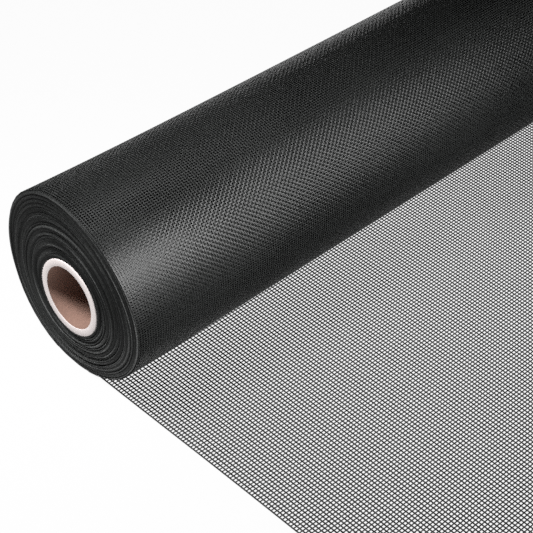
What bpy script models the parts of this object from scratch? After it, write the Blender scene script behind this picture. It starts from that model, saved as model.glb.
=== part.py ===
"""A roll of woven insect screen on a cardboard core, with its loose end laid flat.

Metres, +Z up. The roll lies along X on the plane z = 0. The origin is the middle of the
flat spot under the roll. The cloth comes down the back of the roll, passes under it and
lies flat towards -Y.
"""
import math

import bmesh
import bpy
from mathutils import Vector

MM = 0.001
INCH = 25.4 * MM

# Driving sizes
CLOTH_WIDTH = 24 * INCH        # along the roll
ROLL_RADIUS = 40 * MM          # of the outer turn, away from the ends
LOOSE_LENGTH = 250 * MM        # cloth past the line where the roll rests
SHEET_THICKNESS = 1 * MM
CORE_OUTER_RADIUS = 16.95 * MM
CORE_WALL = 3.15 * MM
CORE_LENGTH = 612 * MM
CORE_OVAL = 0.044              # pressed out of round by this share of its radius
OVAL_ANGLE = math.radians(-63)
GAP = 0.3 * MM                 # between pieces that touch

# How the roll sits
FLAT_DEPTH = 0.3 * MM          # the roll's round is flattened by this much underneath
AXIS_HEIGHT = ROLL_RADIUS - FLAT_DEPTH
CORE_SHIFT = -2.5 * MM         # the core lies off the roll's middle, towards -Y
CORE_DROP = 1.1 * MM           # and lower than it
CORE_PROUD = 2.4 * MM          # the inner turns lean out of the near end by this much

# Shape of the roll towards its ends: lobes, share of the radius, angle of a peak
END_REACH = 45 * MM            # they fade over this length
END_LOBES = ((0, 0.003, 0), (1, 0.007, -33), (2, 0.017, 66), (3, 0.026, 60))
END_STATIONS = (2.2, 1.3, 0.75, 0.35)   # rings of points, as shares of that length
END_SAG = 0.45 * MM            # the lobes bring the ends lower beside the resting line
RIM_ROUND = 1.0 * MM
RIM_MIDDLE = 0.3               # share of the rounding where the rim's middle ring lies
BAND_WALL = 0.15 * MM          # radial width of the step between two bands of turns
BAND_WOBBLE = 0.35             # share of a band's height that changes round the roll

# Bands of turns on each end, from the rim to the core. Columns: outer radius and height
# above the coned end in mm, and the angle in degrees where the band stands out most.
END_BANDS = (
    (39.0, 0.0, 0),
    (37.4, 0.7, 40),
    (35.6, 0.1, 150),
    (33.2, 0.8, 250),
    (31.0, 0.3, 90),
    (28.4, 0.9, 310),
    (26.2, 0.4, 200),
    (23.6, 0.8, 20),
    (21.2, 0.3, 120),
    (19.4, -0.4, 0),
)

# Loose end: how far its edges draw in at the roll, and per metre of length
EDGE_INSET = 2 * MM
EDGE_SLANT = 0.032
WEDGE_START = 11 * MM          # the cloth's thin start under the roll, from the resting line
WEDGE_POINTS = 4

# Turned shapes
ROLL_STEPS = 72
CORE_STEPS = 64
CORE_EDGE = 0.4 * MM
MERGE = 0.0001 * MM
SMOOTH_ANGLE = math.radians(25)

HOLE_RADIUS = CORE_OUTER_RADIUS + GAP
CORE_INNER_RADIUS = CORE_OUTER_RADIUS - CORE_WALL


def clear_scene():
    """Remove the objects that the file opened with."""
    for old in list(bpy.data.objects):
        bpy.data.objects.remove(old, do_unlink=True)


def new_material(name, colour, roughness):
    """A plain Principled material."""
    material = bpy.data.materials.new(name)
    material.use_nodes = True
    shader = material.node_tree.nodes["Principled BSDF"]
    shader.inputs["Base Color"].default_value = (*colour, 1.0)
    shader.inputs["Roughness"].default_value = roughness
    shader.inputs["Metallic"].default_value = 0.0
    return material


def turned_mesh(name, profile, steps):
    """Turn a closed profile of (radius, height) points round Z with a Screw modifier."""
    outline = bmesh.new()
    points = [outline.verts.new((radius, 0.0, height)) for radius, height in profile]
    for here, following in zip(points, points[1:] + points[:1]):
        outline.edges.new((here, following))
    mesh = bpy.data.meshes.new(name + "_profile")
    outline.to_mesh(mesh)
    outline.free()
    guide = bpy.data.objects.new(name + "_profile", mesh)
    bpy.context.scene.collection.objects.link(guide)
    screw = guide.modifiers.new("Turn", "SCREW")
    screw.axis = "Z"
    screw.steps = steps
    screw.render_steps = steps
    screw.use_merge_vertices = True
    screw.merge_threshold = MERGE
    evaluated = guide.evaluated_get(bpy.context.evaluated_depsgraph_get())
    turned = bpy.data.meshes.new_from_object(evaluated)
    turned.name = name
    bpy.data.objects.remove(guide, do_unlink=True)
    bpy.data.meshes.remove(mesh)
    return turned


def lay_along_x(mesh, place):
    """Move each point of a turned mesh to place(height, radius, angle)."""
    for vertex in mesh.vertices:
        x, y, height = vertex.co
        vertex.co = place(height, math.hypot(x, y), math.atan2(y, x))


def add_part(name, mesh, material, collection, is_round=True):
    """Link a mesh as a finished part."""
    part = bpy.data.objects.new(name, mesh)
    mesh.materials.clear()
    mesh.materials.append(material)
    collection.objects.link(part)
    if is_round:
        mesh.shade_smooth()
        mesh.set_sharp_from_angle(angle=SMOOTH_ANGLE)
    return part


def wound_depth(radius):
    """0 at the hole for the core, 1 at the outer turn."""
    return (radius - HOLE_RADIUS) / (ROLL_RADIUS - HOLE_RADIUS)


def band_lift(radius, angle):
    """Height of the band of turns that holds this radius, above the coned end."""
    for outer, height, peak in reversed(END_BANDS):
        if radius <= outer * MM + MERGE:
            swing = BAND_WOBBLE * math.cos(angle - math.radians(peak))
            return height * MM * (1 + swing)
    return 0.0


def out_of_round(angle):
    """Share of the radius by which an end of the roll stands out at this angle."""
    share = 0.0
    for lobes, height, peak in END_LOBES:
        share += height * math.cos(lobes * (angle - math.radians(peak)))
    return share


def oval(angle):
    """Share of the radius by which the core stands out at this angle."""
    return CORE_OVAL * math.cos(2 * (angle - OVAL_ANGLE))


def wound_point(along, radius, angle):
    """Where a point of the wound cloth lies, from its place in a perfect round roll."""
    depth = wound_depth(radius)
    to_end = min(along, CLOTH_WIDTH - along)
    near_end = math.exp(-to_end / END_REACH)
    share = depth * near_end * out_of_round(angle) + (1 - depth) * oval(angle)
    round_radius = radius * (1 + share)
    lift = band_lift(radius, angle) if to_end < MERGE else 0.0
    outwards = -1 if along < CLOTH_WIDTH / 2 else 1
    x = along - CLOTH_WIDTH / 2 - CORE_PROUD * (1 - depth) + outwards * lift
    y = CORE_SHIFT * (1 - depth) + round_radius * math.cos(angle)
    z = AXIS_HEIGHT - CORE_DROP * (1 - depth) + round_radius * math.sin(angle)
    return Vector((x, y, max(z, 0.0)))


def roll_profile():
    """Closed profile of the wound cloth: down the outside, in over one end, up the bore."""
    rim = [
        (ROLL_RADIUS, RIM_ROUND),
        (ROLL_RADIUS - RIM_MIDDLE * RIM_ROUND, RIM_MIDDLE * RIM_ROUND),
    ]
    outside = [(ROLL_RADIUS, CLOTH_WIDTH / 3)]
    outside += [(ROLL_RADIUS, share * END_REACH) for share in END_STATIONS]
    near_side = outside + rim
    far_side = [(radius, CLOTH_WIDTH - along) for radius, along in reversed(near_side)]
    bands = []
    inner_edges = [outer * MM + BAND_WALL for outer, _, _ in END_BANDS[1:]] + [HOLE_RADIUS]
    for (outer, _, _), inner in zip(END_BANDS, inner_edges):
        bands += [(outer * MM, 0.0), (inner, 0.0)]
    far_bands = [(radius, CLOTH_WIDTH) for radius, _ in reversed(bands)]
    return far_side + [(ROLL_RADIUS, CLOTH_WIDTH / 2)] + near_side + bands + far_bands


def make_roll(material, collection):
    """The wound cloth."""
    mesh = turned_mesh("screen_roll", roll_profile(), ROLL_STEPS)
    lay_along_x(mesh, wound_point)
    return add_part("screen_roll", mesh, material, collection)


def make_core(material, collection):
    """The cardboard tube, its ends flush with the inner turns at the near end."""
    inner, outer, edge = CORE_INNER_RADIUS, CORE_OUTER_RADIUS, CORE_EDGE
    profile = [
        (outer, CORE_LENGTH - edge), (outer, edge), (outer - edge, 0.0),
        (inner + edge, 0.0), (inner, edge), (inner, CORE_LENGTH - edge),
        (inner + edge, CORE_LENGTH), (outer - edge, CORE_LENGTH),
    ]
    mesh = turned_mesh("core_tube", profile, CORE_STEPS)
    start = -CLOTH_WIDTH / 2 - CORE_PROUD - GAP

    def core_point(along, radius, angle):
        round_radius = radius * (1 + oval(angle))
        y = CORE_SHIFT + round_radius * math.cos(angle)
        z = AXIS_HEIGHT - CORE_DROP + round_radius * math.sin(angle)
        return Vector((start + along, y, z))

    lay_along_x(mesh, core_point)
    return add_part("core_tube", mesh, material, collection)


def clearance_height(reach):
    """Height just clear of the roll's round, at this distance from the resting line."""
    return AXIS_HEIGHT - math.sqrt((ROLL_RADIUS + END_SAG) ** 2 - reach ** 2) - GAP


def make_loose_end(material, collection):
    """The flat loose end, thin where it leaves the roll."""
    drop = AXIS_HEIGHT - GAP - SHEET_THICKNESS
    full_reach = math.sqrt((ROLL_RADIUS + END_SAG) ** 2 - drop ** 2)
    wedge = []
    for step in range(WEDGE_POINTS):
        reach = WEDGE_START + (full_reach - WEDGE_START) * step / (WEDGE_POINTS - 1)
        wedge.append((reach, clearance_height(reach)))
    section = [(WEDGE_START, 0.0), (LOOSE_LENGTH, 0.0), (LOOSE_LENGTH, SHEET_THICKNESS)]
    section += reversed(wedge)

    curve = bpy.data.curves.new("loose_end_section", "CURVE")
    curve.dimensions = "2D"
    curve.fill_mode = "BOTH"
    curve.extrude = CLOTH_WIDTH / 2
    spline = curve.splines.new("POLY")
    spline.points.add(len(section) - 1)
    for point, (reach, height) in zip(spline.points, section):
        point.co = (-reach, height, 0.0, 1.0)
    spline.use_cyclic_u = True
    guide = bpy.data.objects.new("loose_end_section", curve)
    bpy.context.scene.collection.objects.link(guide)
    evaluated = guide.evaluated_get(bpy.context.evaluated_depsgraph_get())
    mesh = bpy.data.meshes.new_from_object(evaluated)
    mesh.name = "loose_end"
    bpy.data.objects.remove(guide, do_unlink=True)
    bpy.data.curves.remove(curve)

    welded = bmesh.new()
    welded.from_mesh(mesh)
    bmesh.ops.remove_doubles(welded, verts=welded.verts, dist=MERGE)
    for vertex in welded.verts:
        y, z, x = vertex.co
        inset = EDGE_INSET + EDGE_SLANT * -y
        vertex.co = (x - math.copysign(inset, x), y, z)
    bmesh.ops.recalc_face_normals(welded, faces=welded.faces)
    welded.to_mesh(mesh)
    welded.free()
    return add_part("loose_end", mesh, material, collection, is_round=False)


def main():
    clear_scene()
    collection = bpy.data.collections.new("insect_screen_roll")
    bpy.context.scene.collection.children.link(collection)
    net = new_material("charcoal_net", (0.035, 0.036, 0.037), 0.5)
    board = new_material("core_board", (0.70, 0.60, 0.55), 0.85)
    make_roll(net, collection)
    make_core(board, collection)
    make_loose_end(net, collection)


main()
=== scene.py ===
"""Looks of a roll of woven insect screen on a cardboard core, with its loose end laid flat.

Metres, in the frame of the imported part. The roll lies along X on z = 0, the middle of its
flat spot is the origin, and the loose end lies towards -Y. Each thread of the loose end and
of the roll's two outer turns is a strand of its own, and each end of the roll shows the edge
of every turn. Places along the roll are counted from its near end, at -X, and angles go
round it from +Y, the back, over the top.
"""
import math

import bpy
import numpy as np
from mathutils import Matrix, Vector


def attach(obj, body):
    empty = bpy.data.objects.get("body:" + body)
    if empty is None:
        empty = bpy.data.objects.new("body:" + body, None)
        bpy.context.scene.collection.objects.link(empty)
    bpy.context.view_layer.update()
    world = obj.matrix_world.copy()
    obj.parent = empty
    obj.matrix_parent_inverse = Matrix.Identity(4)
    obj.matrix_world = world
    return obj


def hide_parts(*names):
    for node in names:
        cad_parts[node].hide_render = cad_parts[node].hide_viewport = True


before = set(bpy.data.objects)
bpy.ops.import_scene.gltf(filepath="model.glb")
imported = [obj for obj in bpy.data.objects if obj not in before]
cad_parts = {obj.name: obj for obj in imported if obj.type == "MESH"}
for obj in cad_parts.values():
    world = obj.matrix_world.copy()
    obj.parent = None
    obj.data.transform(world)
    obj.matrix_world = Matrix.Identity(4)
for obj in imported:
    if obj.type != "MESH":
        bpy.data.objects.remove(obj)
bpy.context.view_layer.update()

MM = 0.001
INCH = 25.4 * MM
FULL_TURN = 2 * math.pi

# Names of the values that meshes carry for their materials
# The edges' tone holds painted light and shade, and a random tone by group
EDGE_TONE_AND_PAINTED_LIGHT = "edge_tone_and_painted_light"
CROSSING = "crossing"
RUN = "run"

# The roll, as its solid has it
CLOTH_WIDTH = 24 * INCH
ROLL_RADIUS = 40 * MM
FLAT_DEPTH = 0.3 * MM          # the roll's round is flattened by this much underneath
AXIS_HEIGHT = ROLL_RADIUS - FLAT_DEPTH
CORE_OUTER_RADIUS = 16.95 * MM
CORE_WALL = 3.15 * MM
CORE_LENGTH = 612 * MM
GAP = 0.3 * MM                 # between the core and the cloth wound on it
HOLE_RADIUS = CORE_OUTER_RADIUS + GAP
CORE_SHIFT = -2.5 * MM         # the core lies off the roll's middle, towards -Y
CORE_DROP = 1.1 * MM           # and lower than it
CORE_OVAL = 0.044              # pressed out of round by this share of its radius
OVAL_ANGLE = math.radians(-63)
CORE_PROUD = 2.4 * MM          # the inner turns lean out of the near end by this much
CORE_OUT = 0.3 * MM            # and the core comes out of them by this much

# How far the roll is out of round at its ends: lobes, share of the radius, angle of a peak
END_REACH = 45 * MM            # it fades over this length
END_LOBES = ((0, 0.003, 0), (1, 0.007, -33), (2, 0.017, 66), (3, 0.026, 60))


# Shape of the roll
def from_end(along):
    """Distance of places along the roll from the end that is nearer to them."""
    return np.minimum(along, CLOTH_WIDTH - along)


def out_of_round(angle):
    """Share of the radius by which an end of the roll stands out at this angle."""
    share = np.zeros_like(angle)
    for lobes, height, peak in END_LOBES:
        share = share + height * np.cos(lobes * (angle - math.radians(peak)))
    return share


def oval(angle):
    """Share of the radius by which the core stands out at this angle."""
    return CORE_OVAL * np.cos(2 * (angle - OVAL_ANGLE))


def wound_point(along, radius, angle, lift=0.0):
    """Where points of the wound cloth lie, from their places in a perfectly round roll."""
    along, radius, angle = np.broadcast_arrays(along, radius, angle)
    depth = (radius - HOLE_RADIUS) / (ROLL_RADIUS - HOLE_RADIUS)
    near_end = np.exp(-np.maximum(from_end(along), 0) / END_REACH)
    share = depth * near_end * out_of_round(angle) + (1 - depth) * oval(angle)
    round_radius = radius * (1 + share)
    outwards = np.where(along < CLOTH_WIDTH / 2, -1.0, 1.0)
    x = along - CLOTH_WIDTH / 2 - CORE_PROUD * (1 - depth) + outwards * lift
    y = CORE_SHIFT * (1 - depth) + round_radius * np.cos(angle)
    z = AXIS_HEIGHT - CORE_DROP * (1 - depth) + round_radius * np.sin(angle)
    return np.stack([x, y, z], axis=-1)


def off_floor(points, height):
    """The same points, none of them lower than this height."""
    points[..., 2] = np.maximum(points[..., 2], height)
    return points


# Mesh helpers
def add_piece(name, points, faces, material):
    """A smooth piece from arrays of points and lists of faces."""
    mesh = bpy.data.meshes.new(name)
    mesh.from_pydata(points.reshape(-1, 3).tolist(), [], faces)
    mesh.materials.append(material)
    mesh.shade_smooth()
    piece = bpy.data.objects.new(name, mesh)
    bpy.context.scene.collection.objects.link(piece)
    return piece


def carry(piece, name, values):
    """Give each point of a piece a number, or a vector from rows of three, for its material."""
    kind, field = ("FLOAT", "value") if values.ndim == 1 else ("FLOAT_VECTOR", "vector")
    attribute = piece.data.attributes.new(name, kind, "POINT")
    attribute.data.foreach_set(field, values.astype(np.float32).ravel())


def grid_quads(index, first, second):
    """Quads between the points of a grid that joins up along two of its axes."""
    ahead = np.roll(index, -1, axis=first)
    beside = np.roll(index, -1, axis=second)
    return np.stack([index, ahead, np.roll(ahead, -1, axis=second), beside], axis=-1)


THREAD_CORNERS = 4


def strands(centre, side, up, half):
    """Points and faces of four-sided threads. Arrays hold threads, points along, xyz."""
    ring = np.stack([side, up, -side, -up], axis=2) * half + centre[:, :, None]
    index = np.arange(ring.size // 3).reshape(ring.shape[:3])
    faces = grid_quads(index, 2, 1)[:, :-1].reshape(-1, 4).tolist()
    faces += index[:, 0, ::-1].tolist() + index[:, -1].tolist()
    return ring.reshape(-1, 3), faces


def joined(parts):
    """One set of points and faces from several."""
    points, faces, offset = [], [], 0
    for part_points, part_faces in parts:
        points.append(part_points)
        faces += [[corner + offset for corner in face] for face in part_faces]
        offset += len(part_points)
    return np.concatenate(points), faces


DRIFT_WAVES = 9
DRIFT_HEIGHT = 0.25            # of each of them


def drift(shape, waves, seed):
    """A gentle random field over a grid, about -1 to 1, which joins up along the last axis."""
    draw = np.random.default_rng(seed)
    across = np.linspace(0, 1, shape[0])[:, None]
    around = (np.arange(shape[1]) / shape[1])[None, :]
    field = np.zeros(shape)
    for _ in range(DRIFT_WAVES):
        turns = draw.uniform(0, waves[0]) * across + draw.integers(0, waves[1] + 1) * around
        field += np.sin(FULL_TURN * (turns + draw.uniform())) * DRIFT_HEIGHT
    return field


def crowded(count, ease):
    """Shares from 0 to 1 that lie closer together towards both ends."""
    share = np.linspace(0, 1, count)
    return share - ease * np.sin(FULL_TURN * share)


# Nodes
def shader_of(name, roughness, specular):
    """A new material, its nodes and links, and its Principled shader."""
    material = bpy.data.materials.new(name)
    material.use_nodes = True
    shader = material.node_tree.nodes["Principled BSDF"]
    shader.inputs["Roughness"].default_value = roughness
    shader.inputs["Specular IOR Level"].default_value = specular
    return material, material.node_tree.nodes, material.node_tree.links, shader


def feed(links, socket, value):
    """Give a socket a plain value, or link it to the output of another node."""
    if isinstance(value, bpy.types.NodeSocket):
        links.new(value, socket)
    else:
        socket.default_value = value


def math_node(nodes, links, operation, *values):
    """Maths on one or two values, plain ones or other nodes' outputs."""
    node = nodes.new("ShaderNodeMath")
    node.operation = operation
    for socket, value in zip(node.inputs, values):
        feed(links, socket, value)
    return node.outputs["Value"]


def vector_node(nodes, links, operation, *values):
    """Maths on one or two vectors, or on a vector and a number that scales it."""
    node = nodes.new("ShaderNodeVectorMath")
    node.operation = operation
    second = node.inputs["Scale"] if operation == "SCALE" else node.inputs[1]
    for socket, value in zip((node.inputs[0], second), values):
        feed(links, socket, value)
    return node.outputs["Value" if operation == "DOT_PRODUCT" else "Vector"]


def range_node(nodes, links, value, source, target, interpolation="LINEAR"):
    """A value taken from one range to another, and kept inside it."""
    node = nodes.new("ShaderNodeMapRange")
    node.interpolation_type = interpolation
    node.inputs["From Min"].default_value, node.inputs["From Max"].default_value = source
    node.inputs["To Min"].default_value, node.inputs["To Max"].default_value = target
    links.new(value, node.inputs["Value"])
    return node.outputs["Result"]


def noise_node(nodes, links, scale, detail):
    """Noise through a piece, with this many waves a metre."""
    noise = nodes.new("ShaderNodeTexNoise")
    noise.inputs["Scale"].default_value = scale
    noise.inputs["Detail"].default_value = detail
    links.new(nodes.new("ShaderNodeTexCoord").outputs["Object"], noise.inputs["Vector"])
    return noise.outputs["Fac"]


def ramp_node(nodes, links, value, stops):
    """Colours along a value from 0 to 1. Stops are (position, colour)."""
    ramp = nodes.new("ShaderNodeValToRGB")
    elements = ramp.color_ramp.elements
    while len(elements) < len(stops):
        elements.new(0.5)
    for element, (position, colour) in zip(elements, stops):
        element.position = position
        element.color = (*colour, 1)
    links.new(value, ramp.inputs["Fac"])
    return ramp.outputs["Color"]


def carried_node(nodes, name):
    """The node that reads a value which the mesh carries."""
    node = nodes.new("ShaderNodeAttribute")
    node.attribute_name = name
    return node


# Materials
YARN_GRAIN = 900               # waves of noise a metre, and octaves of finer noise
YARN_OCTAVES = 3
YARN_DARK_AT = 0.35            # the noise's levels where yarn is darkest and lightest
YARN_LIGHT_AT = 0.7
YARN_FLATNESS = 0.85           # from 0, a round thread, to 1, a ribbon
YARN_SLOPE = 0.32              # how steeply a thread dips between two threads that it crosses
# Painted shade: colour and gloss are darkened in each dip, where the thread crossing over shades it
DIP_START = -0.4               # its height in a dip, -1 at the bottom, where it starts to darken
DIP_SHADE = 0.65                # how dark it is where it passes under a thread
BOARD_GRAIN = 700
BOARD_OCTAVES = 5
BOARD_DEEP_AT = 0.3
BOARD_PALE_AT = 0.7
BOARD_BUMP = 0.05 * MM
EDGE_GRAIN = 1100
EDGE_OCTAVES = 2
EDGE_GRAIN_RANGE = (0.3, 0.7)  # of the noise
EDGE_GRAIN_TONE = 0.08         # it makes an edge paler or darker by this much at most


def grey(value, tint=0.0):
    """A dark colour, a little green and blue where the tint is above 0."""
    return (value * (1 - tint), value, value * (1 - tint / 2))


def yarn_colour(nodes, links, dark, light):
    """Slightly uneven, from dark to light."""
    noise = noise_node(nodes, links, YARN_GRAIN, YARN_OCTAVES)
    return ramp_node(nodes, links, noise, [(YARN_DARK_AT, dark), (YARN_LIGHT_AT, light)])


def yarn_material(name, dark, light, roughness, specular):
    """Vinyl-coated glass yarn: near black, slightly uneven, with a soft gloss."""
    material, nodes, links, shader = shader_of(name, roughness, specular)
    links.new(yarn_colour(nodes, links, dark, light), shader.inputs["Base Color"])
    return material


def woven_normal(nodes, links, phase):
    """Where flattened yarn faces: outwards, bulging a little, and sloping along its run."""
    place = nodes.new("ShaderNodeTexCoord").outputs["Object"]
    outwards = vector_node(nodes, links, "SUBTRACT", place, (0, 0, AXIS_HEIGHT))
    outwards = vector_node(nodes, links, "MULTIPLY", outwards, (0, 1, 1))
    outwards = vector_node(nodes, links, "NORMALIZE", outwards)
    outwards = vector_node(nodes, links, "SCALE", outwards, YARN_FLATNESS)
    bulge = nodes.new("ShaderNodeNewGeometry").outputs["Normal"]
    bulge = vector_node(nodes, links, "SCALE", bulge, 1 - YARN_FLATNESS)
    slope = math_node(nodes, links, "SINE", phase)
    slope = math_node(nodes, links, "MULTIPLY", slope, YARN_SLOPE)
    run = carried_node(nodes, RUN).outputs["Vector"]
    normal = vector_node(nodes, links, "SCALE", run, slope)
    normal = vector_node(nodes, links, "ADD", normal, outwards)
    normal = vector_node(nodes, links, "ADD", normal, bulge)
    return vector_node(nodes, links, "NORMALIZE", normal)


def woven_material(name, dark, light, roughness, specular):
    """Flattened yarn that dips under every other thread it crosses, with painted shade there: its
    colour and gloss darken where the crossing thread would shade it.
    """
    material, nodes, links, shader = shader_of(name, roughness, specular)
    colour = yarn_colour(nodes, links, dark, light)
    crossing = carried_node(nodes, CROSSING).outputs["Fac"]
    phase = math_node(nodes, links, "MULTIPLY", crossing, math.pi)
    height = math_node(nodes, links, "COSINE", phase)
    # Painted shade in the dips
    dip_shading = range_node(nodes, links, height, (-1, DIP_START), (DIP_SHADE, 1), "SMOOTHSTEP")
    links.new(vector_node(nodes, links, "SCALE", colour, dip_shading), shader.inputs["Base Color"])
    gloss = math_node(nodes, links, "MULTIPLY", dip_shading, specular)
    links.new(gloss, shader.inputs["Specular IOR Level"])
    links.new(woven_normal(nodes, links, phase), shader.inputs["Normal"])
    return material


def board_material(name, pale, deep, bump_strength):
    """Cardboard: fibrous, matt, a little blotchy."""
    material, nodes, links, shader = shader_of(name, roughness=0.85, specular=0.2)
    fibres = noise_node(nodes, links, BOARD_GRAIN, BOARD_OCTAVES)
    colour = ramp_node(nodes, links, fibres, [(BOARD_DEEP_AT, deep), (BOARD_PALE_AT, pale)])
    links.new(colour, shader.inputs["Base Color"])
    bump = nodes.new("ShaderNodeBump")
    bump.inputs["Strength"].default_value = bump_strength
    bump.inputs["Distance"].default_value = BOARD_BUMP
    links.new(fibres, bump.inputs["Height"])
    links.new(bump.outputs["Normal"], shader.inputs["Normal"])
    return material


def edge_material(name, stops):
    """Edges of the turns: as pale as the mesh's own tone says, which is mostly painted light and
    shade, with a little grain.
    """
    material, nodes, links, shader = shader_of(name, roughness=0.6, specular=0.12)
    noise = noise_node(nodes, links, EDGE_GRAIN, EDGE_OCTAVES)
    grain = range_node(nodes, links, noise, EDGE_GRAIN_RANGE, (-EDGE_GRAIN_TONE, EDGE_GRAIN_TONE))
    tone = math_node(nodes, links, "ADD", carried_node(nodes, EDGE_TONE_AND_PAINTED_LIGHT).outputs["Fac"], grain)
    links.new(ramp_node(nodes, links, tone, stops), shader.inputs["Base Color"])
    return material


ROLL_DARK = grey(0.014, 0.06)
ROLL_LIGHT = grey(0.022, 0.06)
LOOSE_DARK = grey(0.004, 0.05)
LOOSE_LIGHT = grey(0.009, 0.05)
# Inner turns: dark yarn, painted darker still as the shade deep between the turns
UNDER_DARK = grey(0.002)
UNDER_LIGHT = grey(0.004)
RING_PALE = (0.86, 0.79, 0.775)
RING_DEEP = (0.83, 0.76, 0.745)
BORE_PALE = (0.31, 0.19, 0.15)
BORE_DEEP = (0.27, 0.165, 0.13)
# Colours of the turns' edges, from darkest to palest: the dark end serves as painted shade and the
# pale end as painted highlight
EDGE_STOPS = (                 # colours of the turns' edges, by how pale they are
    (0.0, grey(0.003)),
    (0.35, grey(0.010, 0.05)),
    (0.6, grey(0.034, 0.04)),
    (1.0, grey(0.13, 0.02)),
)
outer_yarn = woven_material("outer_turn_yarn", ROLL_DARK, ROLL_LIGHT, roughness=0.37, specular=0.42)
second_yarn = woven_material("second_turn_yarn", ROLL_DARK, ROLL_LIGHT, roughness=0.37, specular=0.38)
loose_yarn = yarn_material("loose_yarn", LOOSE_DARK, LOOSE_LIGHT, roughness=0.4, specular=0.25)
under_net = yarn_material("inner_turns", UNDER_DARK, UNDER_LIGHT, roughness=0.8, specular=0.05)
edge_net = edge_material("turn_edges", EDGE_STOPS)
ring_board = board_material("core_face", RING_PALE, RING_DEEP, bump_strength=0.02)
bore_board = board_material("core_bore", BORE_PALE, BORE_DEEP, bump_strength=0.5)


# Weave of the roll, which is finer in the photo than the loose end's
ROLL_WARP_PITCH = 1.23 * MM
ROLL_WEFT_PITCH = 1.07 * MM
ROLL_WARP_HALF = 0.16 * MM     # half of a thread's width
ROLL_WEFT_HALF = 0.16 * MM
ROLL_WARP_COUNT = round(CLOTH_WIDTH / ROLL_WARP_PITCH)
YARN_HEIGHT = 0.65             # of a flattened thread, as a share of its width

# Outer turns of net on the roll
OUTER_INSET = 0.17 * MM        # how far below the roll's radius each turn lies
SECOND_INSET = 0.37 * MM
LAYER_STEP = 0.05 * MM         # warps lie this much further out than that, and wefts further in
RING_POINTS = 49
RING_START = math.radians(-95)  # where each ring begins and ends, out of sight underneath
WEFT_STATIONS = 30
STATION_EASE = 0.12            # how much they crowd towards the roll's ends
TURN_MARGIN = 0.6 * MM         # from an end of the roll to the edge of its net
TURN_SLIP = 0.15 * MM          # how far the threads drift out of their places
WARP_DRIFT = (7, 2)            # in this many waves at most along the roll and round it
WEFT_DRIFT = (2, 4)            # round it and along it
SLIP_EASE = 6 * MM             # warps drift less within this distance of an end

# Dips are less deep near the ends and over the top, down by these shares there
END_DIP_LOSS = 0.8
TOP_DIP_LOSS = 0.6
TOP_ANGLE = math.radians(100)
TOP_REACH = math.radians(25)

# The threads of the two turns fall in line at one angle and drift out of step from there
ALIGNED_ANGLE = math.radians(106)
OUTER_WEFTS = 2 * round(math.pi * (ROLL_RADIUS - OUTER_INSET) / ROLL_WEFT_PITCH)
MISSING_WEFTS = 5              # of the second turn, next to the outer one
SECOND_SHIFT = 0.24 * MM       # along the roll and round it, so that seen from above the
SECOND_TURNED = 0.08 * MM      # near end the outer threads hide those of the second turn
SECOND_LEAN = ROLL_WARP_PITCH / 2  # the second turn's warps lean out of line by this much
LEAN_PEAKS = 5                 # this often round the roll,
LEAN_START = 15 * MM           # and less and less between these places along it
LEAN_END = 55 * MM


def round_axes(angle):
    """Directions at these angles: along the roll, outwards and round it."""
    zero = np.zeros_like(angle)
    along = np.stack([zero + 1, zero, zero], axis=-1)
    outwards = np.stack([zero, np.cos(angle), np.sin(angle)], axis=-1)
    around = np.stack([zero, -np.sin(angle), np.cos(angle)], axis=-1)
    return along, outwards, around


def woven_piece(name, centre, axes, half, crossing, material):
    """Threads that carry their own direction and their count of threads crossed."""
    side, up, run = axes
    piece = add_piece(name, *strands(centre, side, up * YARN_HEIGHT, half), material)
    carry(piece, CROSSING, np.repeat(crossing, THREAD_CORNERS))
    carry(piece, RUN, np.repeat(run.reshape(-1, 3), THREAD_CORNERS, axis=0))
    return piece


def dip_share(along, angle):
    """How deep threads dip here, as a share."""
    at_end = END_DIP_LOSS * np.exp(-(from_end(along) / END_REACH) ** 2)
    on_top = TOP_DIP_LOSS * np.exp(-((angle - TOP_ANGLE) / TOP_REACH) ** 2)
    return ((1 - at_end) * (1 - on_top))[..., None]


def roll_warps(name, turn, radius, material):
    """Warps of one turn of net: rings round the roll, slipped along it here and there."""
    angle = RING_START + np.linspace(0, FULL_TURN, RING_POINTS)
    place = np.linspace(TURN_MARGIN, CLOTH_WIDTH - TURN_MARGIN, ROLL_WARP_COUNT)[:, None]
    near_edge = np.clip(from_end(place) / SLIP_EASE, 0, 1)
    slip = TURN_SLIP * drift((ROLL_WARP_COUNT, RING_POINTS), WARP_DRIFT, turn["seed"])
    lean = turn["lean"] * np.clip((LEAN_END - place) / (LEAN_END - LEAN_START), 0, 1)
    slip = slip + lean * np.sin(LEAN_PEAKS / 2 * (angle - ALIGNED_ANGLE)) ** 2
    along = place + turn["shift"] + slip * near_edge
    angle = np.broadcast_to(angle, along.shape)
    centre = wound_point(np.clip(along, 0, CLOTH_WIDTH), radius, angle)
    crossing = (angle - ALIGNED_ANGLE) / FULL_TURN * turn["wefts"]
    crossing = crossing + np.arange(ROLL_WARP_COUNT)[:, None]
    side, up, run = round_axes(angle)
    axes = (side, up, run * dip_share(place, angle))
    half = ROLL_WARP_HALF
    return woven_piece(name + "_warps", off_floor(centre, half), axes, half, crossing, material)


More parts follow.
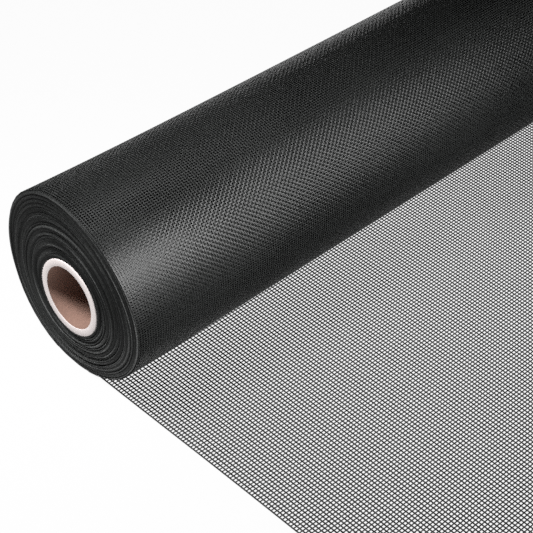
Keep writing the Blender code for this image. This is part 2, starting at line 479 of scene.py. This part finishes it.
def roll_wefts(name, turn, radius, material):
    """Wefts of one turn of net, laid along the roll."""
    share = crowded(WEFT_STATIONS, STATION_EASE)
    angle = (ALIGNED_ANGLE + np.arange(turn["wefts"]) / turn["wefts"] * FULL_TURN)[:, None]
    slip = TURN_SLIP * drift((turn["wefts"], WEFT_STATIONS), WEFT_DRIFT, turn["seed"] + 1)
    angle = angle + (slip - turn["turned"]) / radius
    along = TURN_MARGIN + (CLOTH_WIDTH - 2 * TURN_MARGIN) * share
    centre = wound_point(along, radius, angle)
    crossing = share * (ROLL_WARP_COUNT - 1) + np.arange(turn["wefts"])[:, None] + 1
    run, up, side = round_axes(angle)
    axes = (-side, up, run * dip_share(along, angle))
    half = ROLL_WEFT_HALF
    return woven_piece(name + "_wefts", off_floor(centre, half), axes, half, crossing, material)


def net_turn(name, turn, material):
    """The warps and the wefts of one turn of net."""
    radius = ROLL_RADIUS - turn["inset"]
    warps = roll_warps(name, turn, radius + LAYER_STEP, material)
    return [warps, roll_wefts(name, turn, radius - LAYER_STEP, material)]


outer_place = {
    "inset": OUTER_INSET,
    "wefts": OUTER_WEFTS,
    "shift": 0.0,
    "turned": 0.0,
    "lean": 0.0,
    "seed": 3,
}
second_place = {
    "inset": SECOND_INSET,
    "wefts": OUTER_WEFTS - MISSING_WEFTS,
    "shift": SECOND_SHIFT,
    "turned": SECOND_TURNED,
    "lean": SECOND_LEAN,
    "seed": 5,
}
outer_turn = net_turn("outer_turn", outer_place, outer_yarn)
second_turn = net_turn("second_turn", second_place, second_yarn)


# Wound body: every turn's edge on both ends, and the dark turns that show through the net, painted
# darker than their yarn as shade deep in the roll
TURN_PITCH = 0.27 * MM
TURN_COLUMNS = 4               # of points on a turn's edge
TURN_GROOVE = 0.15 * MM        # between two turns
TURN_ROUGH = 0.06 * MM         # turns stand out unevenly by about this much,
TURN_WAVES = 4                 # in this many waves at most round the roll,
TURN_SPAN = 3                  # and in waves across at least this many turns
BODY_STEPS = 120
BODY_CLEAR = 0.1 * MM          # off the floor
SKIN_RADIUS = 39.30 * MM
SKIN_PLACES = (3 * MM, 12 * MM, 30 * MM, 60 * MM, 120 * MM)  # rings of points, from each end
FACE_RADIUS = 39.75 * MM
TURNS = round((FACE_RADIUS - HOLE_RADIUS) / TURN_PITCH)
LAST_TURN = TURNS - 0.001      # the outermost points belong to the last turn
NEAR_SEED = 11
FAR_SEED = 23

# Turns stand out of an end in groups, less and less over the last stretch to the core
GROUP_WIDTHS = (0.6 * MM, 1.7 * MM)
GROUP_DRIFT = 0.35 * MM
GROUP_HEIGHT = 0.40 * MM
GROUP_TILT = 0.50 * MM
INNER_EASE = 1.5 * MM          # this stretch, and what is left of it all at the core
INNER_SHARE = 0.2

# Random levels that change slowly round the roll: their mean at most, and their waves
SLOW_MEAN = 0.4
SLOW_WAVES = ((1, 0.35), (2, 0.3), (3, 0.2))  # how many round the roll, and how high

# A dark groove shows between two groups here and there, painted darker as shade, with a painted
# highlight next to it
# Both are painted strongest, and the grooves cut deepest, round this angle, where light falls on the
# end
LINES_SHOWN = math.radians(-100)  # they show most round this angle
LINES_MEAN = 0.7               # how much they show on average, and the swing round that
LINES_SWING = 0.3
LINE_SHARE = 0.35              # each shows about this much on average, in places not at all
LINE_DEPTH = 0.9 * MM
LINE_HALF = 0.26 * MM
# Where the painted highlight lies beside its groove
HIGHLIGHT_PLACES = (-1.9, 1.9)      # of the pale line, in half widths from the dark one

# The rim rounds off over a share of the wound depth
RIM_SHARE = 0.05
RIM_DROP = 0.7 * MM
# Painted highlight: a pale line just inside the rim, palest round this angle, where light falls on it
RIM_LIT = math.radians(130)    # it is palest round this angle
RIM_LINE_INSET = 0.5 * MM      # in a line this far in from its edge
RIM_LINE_HALF = 0.6 * MM
RIM_MEAN = 0.5                 # how pale the line is on average, and the swing round that
RIM_SWING = 0.7

# How pale the edges are, from 0 to 1, and what changes it: mostly painted light and shade, and a tone
# that differs at random from group to group
FACE_TONE = 0.44
# Painted light: the end is painted paler on the side where light falls on it, round the angle where
# its lines show most, and at another angle and the one opposite it
ONE_SIDED_LIGHT = 0.13        # paler on the side where the lines show
TWO_SIDED_LIGHT = 0.07               # and at this angle and opposite
PALE_SIDES = math.radians(85)
GROUP_TONE = 0.08
# Painted highlight on a line next to a groove, and painted shade in the groove
LINE_HIGHLIGHT_TONE = 0.5
GROOVE_SHADE_TONE = 0.4
# Painted light and shade: a turn is painted paler where it stands higher and darker where lower, and
# its groove darker than its middle
RAISED_TURN_LIGHT = 0.18
SWELL_LIGHT = 0.08              # the middle of a turn's edge is paler than the groove
SWELL_MEAN = 0.6
RIM_HIGHLIGHT = 0.18


def slow_wave(draw, angle):
    """A random level, about -1 to 1, which changes slowly round the roll."""
    wave = draw.uniform(-SLOW_MEAN, SLOW_MEAN)
    for waves, height in SLOW_WAVES:
        wave = wave + height * np.cos(waves * angle + draw.uniform(0, FULL_TURN))
    return wave


def group_bounds(draw, angle):
    """Radii between the groups of turns, which wander a little round the roll."""
    bounds = [HOLE_RADIUS]
    while bounds[-1] < FACE_RADIUS:
        bounds.append(bounds[-1] + draw.uniform(*GROUP_WIDTHS))
    return [bound + GROUP_DRIFT * slow_wave(draw, angle) for bound in bounds]


def add_groups(lift, tone, radius, angle, bounds, draw):
    """Each group stands out, tilts and is pale in its own way."""
    for inner, outer in zip(bounds[:-1], bounds[1:]):
        share = (radius - inner) / (outer - inner)
        within = (share >= 0) & (share < 1)
        tone += np.where(within, GROUP_TONE * slow_wave(draw, angle), 0)
        level = GROUP_HEIGHT * slow_wave(draw, angle)
        level = level + GROUP_TILT * slow_wave(draw, angle) * (share - 0.5)
        lift += np.where(within, level, 0)


def add_lines(lift, tone, radius, angle, bounds, draw):
    """Dark grooves between groups, painted darker as shade, each with a painted highlight on one of
    its sides.
    """
    shown = LINES_MEAN + LINES_SWING * np.cos(angle - LINES_SHOWN)
    for line in bounds[1:-1]:
        from_line = (radius - line) / LINE_HALF
        dark = shown * np.clip(LINE_SHARE + slow_wave(draw, angle), 0, 1) * np.exp(-from_line ** 2)
        pale = shown * np.clip(LINE_SHARE + slow_wave(draw, angle), 0, 1)
        pale = pale * np.exp(-(from_line + draw.choice(HIGHLIGHT_PLACES)) ** 2)
        lift -= LINE_DEPTH * dark
        # Painted highlight beside each groove and painted shade in it
        tone += LINE_HIGHLIGHT_TONE * pale - GROOVE_SHADE_TONE * dark


def add_turns(lift, tone, radius, angle, seed):
    """Each turn's edge is a small ridge, a bit higher or lower, painted paler where higher and darker
    where lower, with painted shade in the groove between turns.
    """
    turn = np.minimum((radius - HOLE_RADIUS) / TURN_PITCH, LAST_TURN)
    swell = np.sin((turn % 1) * math.pi)
    rough = drift((TURNS, len(angle)), (TURNS / TURN_SPAN, TURN_WAVES), seed)[turn[:, 0].astype(int)]
    lift += TURN_ROUGH * rough - TURN_GROOVE * (1 - swell)
    # Painted light on raised turns and on the middle of each edge, painted shade in the grooves
    tone += RAISED_TURN_LIGHT * rough + SWELL_LIGHT * (swell - SWELL_MEAN)


def add_rim(lift, tone, radius, angle):
    """The rim rounds off, with a painted highlight in a line just inside it."""
    to_rim = (radius - HOLE_RADIUS) / (ROLL_RADIUS - HOLE_RADIUS) - 1 + RIM_SHARE
    lift -= RIM_DROP * np.clip(to_rim / RIM_SHARE, 0, 1) ** 2
    line = np.exp(-((FACE_RADIUS - RIM_LINE_INSET - radius) / RIM_LINE_HALF) ** 2)
    # Painted highlight along the rim, strongest where light falls
    tone += RIM_HIGHLIGHT * line * np.clip(RIM_MEAN + RIM_SWING * np.cos(angle - RIM_LIT), 0, 1)


def end_face(radius, angle, seed):
    """How far each turn's edge stands out of an end, and how pale it is, which is mostly painted
    light and shade.
    """
    draw = np.random.default_rng(seed)
    radius = radius[:, None]
    lift = np.zeros((len(radius), len(angle)))
    # Painted light: paler on the sides of the end where light falls
    tone = lift + FACE_TONE + ONE_SIDED_LIGHT * np.cos(angle - LINES_SHOWN)
    tone += TWO_SIDED_LIGHT * np.cos(2 * (angle - PALE_SIDES))
    bounds = group_bounds(draw, angle)
    add_groups(lift, tone, radius, angle, bounds, draw)
    add_lines(lift, tone, radius, angle, bounds, draw)
    add_turns(lift, tone, radius, angle, seed + 1)
    lift *= np.clip((radius - HOLE_RADIUS) / INNER_EASE, INNER_SHARE, 1)
    add_rim(lift, tone, radius, angle)
    return lift, np.clip(tone, 0, 1)


def wound_body():
    """The two ends of the roll, joined by a skin outside and by the wall of the hole."""
    face_rows = TURNS * TURN_COLUMNS + 1
    radius = np.linspace(HOLE_RADIUS, FACE_RADIUS, face_rows)
    angle = np.arange(BODY_STEPS) / BODY_STEPS * FULL_TURN
    near_lift, near_tone = end_face(radius, angle, NEAR_SEED)
    far_lift, far_tone = end_face(radius, angle, FAR_SEED)
    near = wound_point(0.0, radius[:, None], angle, near_lift)
    far = wound_point(CLOTH_WIDTH, radius[::-1, None], angle, far_lift[::-1])
    places = [*SKIN_PLACES, CLOTH_WIDTH / 2]
    places += [CLOTH_WIDTH - place for place in reversed(SKIN_PLACES)]
    skin = [wound_point(place, SKIN_RADIUS, angle) for place in places]
    grid = off_floor(np.concatenate([near, np.stack(skin), far]), BODY_CLEAR)
    index = np.arange(grid.size // 3).reshape(-1, BODY_STEPS)
    faces = grid_quads(index, 1, 0).reshape(-1, 4).tolist()
    body = add_piece("wound_turns", grid, faces, edge_net)
    body.data.materials.append(under_net)
    skin_tone = np.zeros((len(places), BODY_STEPS))
    carry(body, EDGE_TONE_AND_PAINTED_LIGHT, np.concatenate([near_tone, skin_tone, far_tone[::-1]]).ravel())
    rows = np.repeat(np.arange(len(grid)), BODY_STEPS)
    is_skin = (rows >= face_rows - 1) & (rows < len(grid) - face_rows)
    body.data.polygons.foreach_set("material_index", is_skin.astype(np.int32))
    body.data.update()
    return body


body = wound_body()


# Loose end, and its weave
LOOSE_LENGTH = 250 * MM
LOOSE_START = -4 * MM          # from the line where the roll rests, so just behind it
EDGE_INSET = 2 * MM            # its edges draw in by this much at the roll
EDGE_SLANT = 0.032             # and by this much more per metre of length
INSET_REACH = 70 * MM          # threads are pushed in less and less over this width
WARP_PITCH = INCH / 14         # warps run with the cloth's length, so round the roll
WEFT_PITCH = INCH / 18         # wefts run along the roll
WARP_HALF = 0.345 * MM         # half of a thread's width
WEFT_HALF = 0.275 * MM
WARP_LIFT = 0.08 * MM          # warps lie this much higher than the wefts
WARP_COUNT = round(CLOTH_WIDTH / WARP_PITCH) + 1
WEFT_COUNT = int((LOOSE_LENGTH - LOOSE_START) / WEFT_PITCH)
WEFT_INSET = 0.4 * WEFT_PITCH  # of the first weft, from the free edge
LOOSE_WARP_POINTS = 25
LOOSE_WEFT_POINTS = 41
LOOSE_WEFT_EASE = 0.1          # how much these crowd towards the cloth's edges
LOOSE_WARP_SLIP = 0.25 * MM    # how far the threads drift out of their places
LOOSE_WEFT_SLIP = 0.3 * MM
LOOSE_WARP_DRIFT = (6, 2)      # in this many waves at most across the cloth and down it
LOOSE_WEFT_DRIFT = (2, 4)      # down it and across it
WEFT_BOW = 1.4 * MM            # wefts bend back to the roll near the cloth's edges
WEFT_BOW_REACH = 20 * MM
WARP_SEED = 31
WEFT_SEED = 37


def drawn_in(along, reach):
    """How far a point is pushed towards the middle of the cloth by its drawn-in edges."""
    inset = EDGE_INSET + EDGE_SLANT * reach
    return inset * (np.exp(-along / INSET_REACH) - np.exp(-(CLOTH_WIDTH - along) / INSET_REACH))


def flat_strands(along, y, z, side, half):
    """Threads of the loose end, from the places of their points along the roll."""
    centre = np.stack(np.broadcast_arrays(along - CLOTH_WIDTH / 2, y, z), axis=-1)
    side = np.broadcast_to(np.array(side, float), centre.shape)
    up = np.broadcast_to(np.array((0, 0, 1), float), centre.shape)
    return strands(centre, side, up, half)


def loose_warps():
    """Warps of the loose end, which run out from under the roll to its free edge."""
    reach = np.linspace(LOOSE_START, LOOSE_LENGTH, LOOSE_WARP_POINTS)[None, :]
    along = np.arange(WARP_COUNT)[:, None] * WARP_PITCH
    along = along + drawn_in(along, reach)
    along = along + LOOSE_WARP_SLIP * drift(along.shape, LOOSE_WARP_DRIFT, WARP_SEED)
    return flat_strands(along, -reach, WARP_HALF + WARP_LIFT, (1, 0, 0), WARP_HALF)


def loose_wefts():
    """Wefts of the loose end, along the roll, counted from the free edge."""
    reach = (LOOSE_LENGTH - WEFT_INSET - np.arange(WEFT_COUNT) * WEFT_PITCH)[:, None]
    along = CLOTH_WIDTH * crowded(LOOSE_WEFT_POINTS, LOOSE_WEFT_EASE)[None, :]
    bow = WEFT_BOW * np.exp(-from_end(along) / WEFT_BOW_REACH)
    along = along + drawn_in(along, reach)
    y = -reach + bow * (reach > 0)
    y = y + LOOSE_WEFT_SLIP * drift(y.shape, LOOSE_WEFT_DRIFT, WEFT_SEED)
    return flat_strands(along, y, WEFT_HALF, (0, 1, 0), WEFT_HALF)


loose = add_piece("loose_net", *joined([loose_warps(), loose_wefts()]), loose_yarn)


# Core
CORE_STEPS = 128
CORE_EDGE = 0.18 * MM          # its edges are rounded by this much
BORE_RINGS = 9
BORE_RINGS_INSET = 8 * MM      # from an end of the core to the first of them


def core_point(along, radius, angle):
    """Where points of the core lie, from their places in a round tube."""
    round_radius = radius * (1 + oval(angle))
    x = along - CLOTH_WIDTH / 2 - CORE_PROUD - CORE_OUT
    y = CORE_SHIFT + round_radius * np.cos(angle)
    z = AXIS_HEIGHT - CORE_DROP + round_radius * np.sin(angle)
    return np.stack(np.broadcast_arrays(x, y, z), axis=-1)


def core_profile():
    """The section of the core's wall, as (along, radius), once round."""
    inner, outer = CORE_OUTER_RADIUS - CORE_WALL, CORE_OUTER_RADIUS
    near = [
        (0.0, outer - CORE_EDGE),
        (0.0, inner + CORE_EDGE),
        (CORE_EDGE / 3, inner + CORE_EDGE / 3),
        (CORE_EDGE, inner),
    ]
    far = [(CORE_LENGTH - along, radius) for along, radius in reversed(near)]
    far += [(CORE_LENGTH - CORE_EDGE / 3, outer - CORE_EDGE / 3), (CORE_LENGTH - CORE_EDGE, outer)]
    places = np.linspace(BORE_RINGS_INSET, CORE_LENGTH - BORE_RINGS_INSET, BORE_RINGS)
    bore = [(place, inner) for place in places]
    return near + bore + far + [(CORE_EDGE, outer), (CORE_EDGE / 3, outer - CORE_EDGE / 3)]


def cardboard_core():
    """The core: its section turned once round, with a material of its own in the bore."""
    along, radius = np.array(core_profile()).T
    angle = (np.arange(CORE_STEPS) / CORE_STEPS * FULL_TURN)[:, None]
    index = np.arange(CORE_STEPS * len(along)).reshape(CORE_STEPS, -1)
    faces = grid_quads(index, 0, 1).reshape(-1, 4).tolist()
    core = add_piece("core", core_point(along, radius, angle), faces, ring_board)
    core.data.materials.append(bore_board)
    on_bore = radius == CORE_OUTER_RADIUS - CORE_WALL
    bore_face = on_bore & np.roll(on_bore, -1)
    core.data.polygons.foreach_set("material_index", np.tile(bore_face, CORE_STEPS).astype(np.int32))
    core.data.update()
    return core


core = cardboard_core()

net_pieces = outer_turn + second_turn + [body, loose]
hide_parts("screen_roll")
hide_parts("loose_end")
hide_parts("core_tube")
for piece in net_pieces:
    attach(piece, "root")
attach(core, "root")

# Floor, which glows evenly, so that nothing throws a shadow on it
FLOOR_SIZE = 12.0
FLOOR_DROP = 0.1 * MM          # below the part
FLOOR_TONE = 0.03
FLOOR_GLOW = 0.96
WHITE = (1, 1, 1, 1)
bpy.ops.mesh.primitive_plane_add(size=FLOOR_SIZE, location=(0, 0, -FLOOR_DROP))
floor = bpy.context.object
floor.name = "floor"
floor_material, _, _, floor_shader = shader_of("white_floor", roughness=0.9, specular=0.0)
floor_shader.inputs["Base Color"].default_value = (FLOOR_TONE, FLOOR_TONE, FLOOR_TONE, 1)
floor_shader.inputs["Emission Color"].default_value = WHITE
floor_shader.inputs["Emission Strength"].default_value = FLOOR_GLOW
floor.data.materials.append(floor_material)
floor.visible_diffuse = False
floor.visible_glossy = False

# Light that the white room throws back from low on the left, and a little from elsewhere
GLOW = 1.0
GLOW_FROM = (-0.36, -0.25, -0.90)
GLOW_FULL_AT = 0.75            # cosine of the angle off that direction within which it is full
FILL = 0.02
world = bpy.data.worlds.new("studio")
bpy.context.scene.world = world
world.use_nodes = True
sky, sky_links = world.node_tree.nodes, world.node_tree.links
direction = sky.new("ShaderNodeTexCoord").outputs["Generated"]
towards = vector_node(sky, sky_links, "DOT_PRODUCT", direction, GLOW_FROM)
strength = range_node(sky, sky_links, towards, (0, GLOW_FULL_AT), (FILL, GLOW))
sky["Background"].inputs["Color"].default_value = WHITE
sky_links.new(strength, sky["Background"].inputs["Strength"])

near_end = Vector((-CLOTH_WIDTH / 2, 0, AXIS_HEIGHT))


def softbox(name, place, size, power, spread=180, aim=0.05, pieces=()):
    """A soft rectangle of light, placed from the middle of the roll's near end.

    It is aimed at the roll's axis, at a point this far in from that end. It falls on the
    given pieces alone, or on all when none are given.
    """
    light = bpy.data.lights.new(name, "AREA")
    light.shape = "RECTANGLE"
    light.size, light.size_y = size
    light.energy = power
    light.spread = math.radians(spread)
    holder = bpy.data.objects.new(name, light)
    holder.location = near_end + Vector(place)
    target = near_end + Vector((aim, 0, 0))
    holder.rotation_euler = (target - holder.location).to_track_quat("-Z", "Y").to_euler()
    if pieces:
        lit = bpy.data.collections.new(name + "_light")
        for piece in pieces:
            lit.objects.link(piece)
        holder.light_linking.receiver_collection = lit
    bpy.context.scene.collection.objects.link(holder)


wound_pieces = outer_turn + second_turn + [body]
softbox("band", (0.13, -0.28, 0.195), (0.28, 0.20), power=1.04, spread=120, pieces=net_pieces)
softbox("top", (0.18, 0.065, 0.36), (0.16, 0.12), power=0.034, spread=60, aim=0.0, pieces=net_pieces)
softbox("key", (-0.145, 0.09, 0.42), (0.13, 0.13), power=0.60, spread=80, aim=0.0)
softbox("back", (0.65, 0.72, 0.14), (0.5, 0.2), power=1.4, pieces=net_pieces)
softbox("low", (0.05, -0.32, 0.04), (0.14, 0.10), power=0.18, pieces=wound_pieces)

# Camera, fitted to the roll's end and outline and to the mesh's lines in the photo
CAMERA_PLACE = (-0.5458, -0.3395, 0.4207)
CAMERA_RIGHT = Vector((0.72015, -0.69297, 0.03421))
CAMERA_UP = Vector((0.44255, 0.49676, 0.74658))
CAMERA_SENSOR = 36             # these two in millimetres
CAMERA_LENS = 98.8
CAMERA_SHIFT = (0.002, -0.0017)
camera_data = bpy.data.cameras.new("camera")
camera_data.sensor_width = CAMERA_SENSOR
camera_data.lens = CAMERA_LENS
camera_data.shift_x, camera_data.shift_y = CAMERA_SHIFT
camera = bpy.data.objects.new("camera", camera_data)
camera.location = CAMERA_PLACE
camera_axes = Matrix((CAMERA_RIGHT, CAMERA_UP, CAMERA_RIGHT.cross(CAMERA_UP))).transposed()
camera.rotation_euler = camera_axes.to_euler()
bpy.context.scene.collection.objects.link(camera)
bpy.context.scene.camera = camera
bpy.context.scene.view_settings.view_transform = "Standard"
bpy.context.scene.cycles.use_denoising = False
